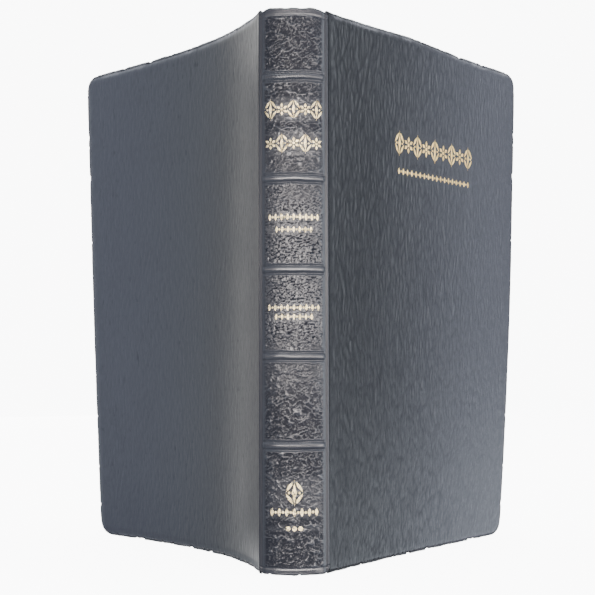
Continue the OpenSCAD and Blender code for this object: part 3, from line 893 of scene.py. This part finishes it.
def build_flyleaves():
    for side, name in ((FRONT, "front"), (BACK, "back")):
        piece = build_leaf(name + "_flyleaf_sheet", side, FLYLEAF_X,
            (side * FLYLEAF_X, FLYLEAF_Y), FLYLEAF_SHARE * OPEN[side], BEND[side], FLYLEAF_T,
            step=(3.5, 9.0), looks=(ENDPAPER, GILT))
        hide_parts(name + "_flyleaf")


# ---------- headbands
def build_headbands():
    """Two silk-wound cords that follow the round of the folded backs, at the head and at the tail."""
    path_r = SPINE_R - FOLDS_DEPTH - HEADBAND_R
    reach = math.asin((SECTIONS * SECTION_PITCH - 1) / path_r)
    strand_pitch = 0.45
    stations, sides = 180, 14
    head = ("head_band_silk", "head_band", PAGE_TOP + HEADBAND_R)
    tail = ("tail_band_silk", "tail_band", PAGE_INSET - HEADBAND_R)
    for name, node, z in (head, tail):
        points, uv = [], []
        for i in range(stations):
            turn = -reach + 2 * reach * i / (stations - 1)
            cap = min(1.0, 0.35 + 6 * min(i, stations - 1 - i) / stations)
            strand = abs(math.sin(math.pi * turn * path_r / strand_pitch))
            swell = HEADBAND_R * cap * (0.93 + 0.07 * strand)
            for k in range(sides):
                around = 2 * math.pi * k / sides
                r = path_r + swell * math.cos(around)
                height = z + swell * math.sin(around)
                points.append((r * math.sin(turn), SPINE_CY - r * math.cos(turn), height))
                uv.append((turn * path_r + 20, around))
        faces = tube_faces(stations, sides)
        faces += [tuple(range(sides))[::-1], tuple(range((stations - 1) * sides, stations * sides))]
        piece = make_mesh(name, points, faces, SILK, uv=uv)
        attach(piece, "spine")
        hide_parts(node)


# ---------- gold tooling
def flake(x, z, w, h, power, count=24):
    """A flake with four points: round at power 1, straight-sided at 2 and hollow-sided above."""
    turns = np.linspace(0, 2 * math.pi, count, endpoint=False)
    c, s = np.cos(turns), np.sin(turns)
    across, up = np.sign(c) * np.abs(c) ** power, np.sign(s) * np.abs(s) ** power
    return np.column_stack([x + w / 2 * across, z + h / 2 * up])


def dot(x, z, r):
    return flake(x, z, 2 * r, 2 * r, 1, 20)


def petal(x, z, length, width, angle):
    """A pointed petal that starts at (x, z) and runs at an angle from upright."""
    run = np.linspace(0, 1, 13)
    half = width / 2 * np.sin(math.pi * run) * (1.15 - 0.3 * run)
    across = np.concatenate([half, -half[-2:0:-1]])
    out = np.concatenate([run, run[-2:0:-1]]) * length
    c, s = math.cos(angle), math.sin(angle)
    return np.column_stack([x + across * c + out * s, z - across * s + out * c])


def sprig(x, z, w, h):
    """An upright hollow-sided flake with two pairs of petals and a bead each side."""
    shapes = [flake(x, z, w * 0.34, h, 3, 32)]
    lean = 0.62
    for way in (-1, 1):
        root = x + way * w * 0.06
        shapes.append(petal(root, z - h * 0.40, h * 0.46, w * 0.17, way * lean))
        shapes.append(petal(root, z + h * 0.40, h * 0.46, w * 0.17, way * (math.pi - lean)))
        shapes.append(dot(x + way * w * 0.30, z, w * 0.07))
    return shapes


def rosette(x, z, size, petals):
    shapes = [dot(x, z, size * 0.11)]
    root_r = size * 0.15
    for k in range(petals):
        turn = 2 * math.pi * k / petals
        root = (x + root_r * math.sin(turn), z + root_r * math.cos(turn))
        shapes.append(petal(*root, size * 0.36, size * 0.2, turn))
    return shapes


def beads(x, z, w, h, count):
    """A line of lozenges with a bead in each gap."""
    pitch = w / count
    shapes = [flake(x + pitch * (k - (count - 1) / 2), z, pitch * 0.52, h, 1.7) for k in range(count)]
    shapes += [dot(x + pitch * (k - (count - 2) / 2), z, h * 0.16) for k in range(count - 1)]
    return shapes


def frieze(x, z, w, h, count, first):
    """Sprigs and rosettes in turn."""
    pitch = w / count
    shapes = []
    for k in range(count):
        at = x + pitch * (k - (count - 1) / 2)
        shapes += sprig(at, z, pitch, h) if (k + first) % 2 == 0 else rosette(at, z, min(pitch, h) * 1.02, 6)
    return shapes


def foil_mesh(shapes, relief):
    """Each anticlockwise outline as a closed foil that follows the relief: its centre, middle ring and
    rim, then its back."""
    points, faces = [], []
    for outline in shapes:
        centre = outline.mean(0)
        n = len(outline)
        flat = np.concatenate([[centre], (outline + centre) / 2, outline, outline, [centre]])
        height = relief(flat[:, 0], flat[:, 1])
        proud = np.concatenate([np.full(1 + 2 * n, FOIL_PROUD), np.full(n + 1, -FOIL_SUNK)])
        at = len(points)
        points.extend(np.column_stack([flat, -(height + proud)]))
        for k in range(n):
            j = (k + 1) % n
            middle, rim, back = at + 1, at + 1 + n, at + 1 + 2 * n
            faces += [(at, middle + k, middle + j), (middle + k, rim + k, rim + j, middle + j),
                (rim + k, back + k, back + j, rim + j), (back + k, back + n, back + j)]
    points = np.array(points)
    return points, faces, points[:, :2]


def build_spine_foil(name, node, shapes):
    points, faces, uv = foil_mesh(shapes, lambda along, up: spine_relief(along, up)[0])
    piece = make_mesh(name, in_spine(points), faces, LIT_SPINE_GOLD, uv=uv, flat=True)
    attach(piece, "spine")
    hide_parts(node)


def build_front_foil(name, node, shapes):
    line = bend_line(FRONT, BEND[FRONT])
    points, faces, uv = foil_mesh(shapes, lambda along, up: cover_relief(along, up, FRONT)[0])
    placed = opened(in_cover(points, FRONT), FRONT, (HALF, HINGE_Y), OPEN[FRONT], line)
    piece = make_mesh(name, placed, faces, SHADED_FRONT_GOLD, uv=uv, flat=True)
    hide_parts(node)
    blend_piece(piece)


def build_tooling():
    titles = [frieze(0, z, TITLE_W, h, TITLE_COUNT, first) for first, (z, h) in enumerate(TITLE_ROWS)]
    build_spine_foil("spine_ornament_gold", "spine_title_foil", titles[0] + titles[1])
    lines = [shape for z, h, w, count in SMALL_ROWS for shape in beads(0, z, w, h, count)]
    build_spine_foil("spine_line_gold", "spine_line_foil", lines)
    z, h, w, count = FOOT_ROW
    foot_z, foot_r, foot_pitch = FOOT_DOTS
    emblem = sprig(0, EMBLEM_Z, EMBLEM_W, EMBLEM_H) + beads(0, z, w, h, count)
    emblem += [dot(foot_pitch * k, foot_z, foot_r) for k in (-1, 0, 1)]
    build_spine_foil("spine_emblem_gold", "spine_emblem_foil", emblem)
    build_front_foil("front_ornament_gold", "front_title_foil",
        frieze(FRONT_ROW_S, FRONT_ROW_Z, FRONT_ROW_W, FRONT_ROW_H, FRONT_ROW_COUNT, 0))
    build_front_foil("front_line_gold", "front_line_foil",
        beads(FRONT_ROW_S, FRONT_LINE_Z, FRONT_LINE_W, FRONT_LINE_H, FRONT_LINE_COUNT))


# ---------- carried CAD nodes
def finish_cad_nodes():
    looks = {"spine_lining": KRAFT, "spine_mull": MULL, "spine_glue": GLUE,
        "sewing_thread": THREAD, "sewn_folds": FOLDS}
    for node, look in looks.items():
        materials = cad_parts[node].data.materials
        if len(materials) == 0:
            materials.append(look)
        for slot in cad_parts[node].material_slots:
            slot.material = look


# ---------- stage
# How bright the world is below, level with and above the book. The lights' places are in metres.
FLOOR_GLOW = 0.85
ROOM_GLOW = 0.34
CEILING_GLOW = 1.0
BOOK_MIDDLE = (0, 0.03, 0.11)
DAYLIGHT = (1.0, 0.93, 0.88)
SKYLIGHT = (0.86, 0.93, 1.0)


def build_stage():
    """A pale sweep: a flat round floor that curves up into walls and closes overhead. Only the camera
    sees it, so that the world and the lamps light the book as a studio would."""
    floor_r, wall_r, curve_r, hub_r = 3000, 6000, 3000, 1
    rings, sides = 14, 64
    profile = [(hub_r, 0), (floor_r, 0)]
    for k in range(1, rings + 1):
        turn = math.pi * k / rings
        profile.append((floor_r + (wall_r - floor_r) * math.sin(turn), curve_r * (1 - math.cos(turn))))
    profile.append((hub_r, 2 * curve_r))
    points = []
    for r, z in profile:
        for k in range(sides):
            turn = 2 * math.pi * k / sides
            points.append((r * math.cos(turn), r * math.sin(turn), z))
    faces = tube_faces(len(profile), sides)
    ground = Shader("pale_floor", Roughness=0.9, Specular_IOR_Level=0.1, Emission_Strength=9.0)
    ground.surface.inputs["Emission Color"].default_value = (1.0, 1.0, 1.0, 1)
    at = ground.solid()
    cloud = ground.noise(at, 0.01, 2.0)
    ground.feed("Base Color", ground.blend(cloud, (0.86, 0.86, 0.87), (0.84, 0.84, 0.85)))
    sweep = make_mesh("pale_sweep", points, faces, ground.material)
    sweep.visible_diffuse = False
    sweep.visible_glossy = False
    sweep.visible_shadow = False


def build_world():
    """A pale blue glow that depends only on the height of the direction."""
    world = bpy.data.worlds.new("studio")
    nodes = Nodes(world)
    direction = nodes.node("TexCoord").outputs["Generated"]
    height = nodes.node("SeparateXYZ", {0: direction}).outputs["Z"]
    share = nodes.node("MapRange", {"Value": height, "From Min": -1.0}).outputs["Result"]
    glow = nodes.node("FloatCurve", {"Value": share})
    curve = glow.mapping.curves[0].points
    curve[0].location = (0.0, FLOOR_GLOW)
    curve[1].location = (1.0, CEILING_GLOW)
    for at in ((0.35, FLOOR_GLOW), (0.52, ROOM_GLOW), (0.60, ROOM_GLOW), (0.75, CEILING_GLOW)):
        curve.new(*at)
    glow.mapping.use_clip = False
    glow.mapping.update()
    sky = nodes.tree.nodes["Background"]
    sky.inputs["Color"].default_value = (0.84, 0.91, 1.0, 1)
    nodes.tree.links.new(glow.outputs["Value"], sky.inputs["Strength"])
    bpy.context.scene.world = world


def add_light(name, at, size, radiance, colour):
    """A soft panel of the given radiance that faces the book, unseen by the camera."""
    data = bpy.data.lights.new(name, "AREA")
    data.shape = "RECTANGLE"
    data.size, data.size_y = size
    data.energy = radiance * math.pi * size[0] * size[1]
    data.color = colour
    lamp = bpy.data.objects.new(name, data)
    place = Vector(at)
    turn = (place - Vector(BOOK_MIDDLE)).to_track_quat("Z", "Y").to_matrix().to_4x4()
    lamp.matrix_world = Matrix.Translation(place) @ turn
    lamp.visible_camera = False
    bpy.context.collection.objects.link(lamp)


def build_lights():
    add_light("window", (0, -1.50, 0.28), (2.4, 0.20), 29.0, DAYLIGHT)
    add_light("window_right", (1.30, -1.09, 0.28), (0.8, 0.20), 15.0, DAYLIGHT)
    add_light("window_left", (-1.45, -1.0, 0.28), (1.2, 0.20), 3.5, DAYLIGHT)
    add_light("low_right", (1.32, -0.72, -0.06), (0.6, 0.32), 7.0, DAYLIGHT)
    add_light("right_panel", (1.5, -0.04, 0.20), (0.50, 1.4), 6.2, SKYLIGHT)
    add_light("low_panel", (1.15, 0.66, -0.28), (0.7, 0.44), 2.2, SKYLIGHT)
    add_light("left_panel", (-1.5, 0.35, 0.35), (1.0, 1.2), 1.3, (0.78, 0.87, 1.0))
    add_light("rear_panel", (-0.70, 1.45, 0.35), (1.4, 1.2), 1.9, (1.0, 0.98, 0.95))
    add_light("overhead", (0.1, 0.0, 2.0), (1.5, 1.5), 4.0, (1.0, 1.0, 1.0))


build_spine()
build_cover(FRONT)
build_cover(BACK)
build_flyleaves()
build_sections()
build_headbands()
build_tooling()
finish_cad_nodes()
build_stage()
build_world()
build_lights()

bpy.context.view_layer.update()
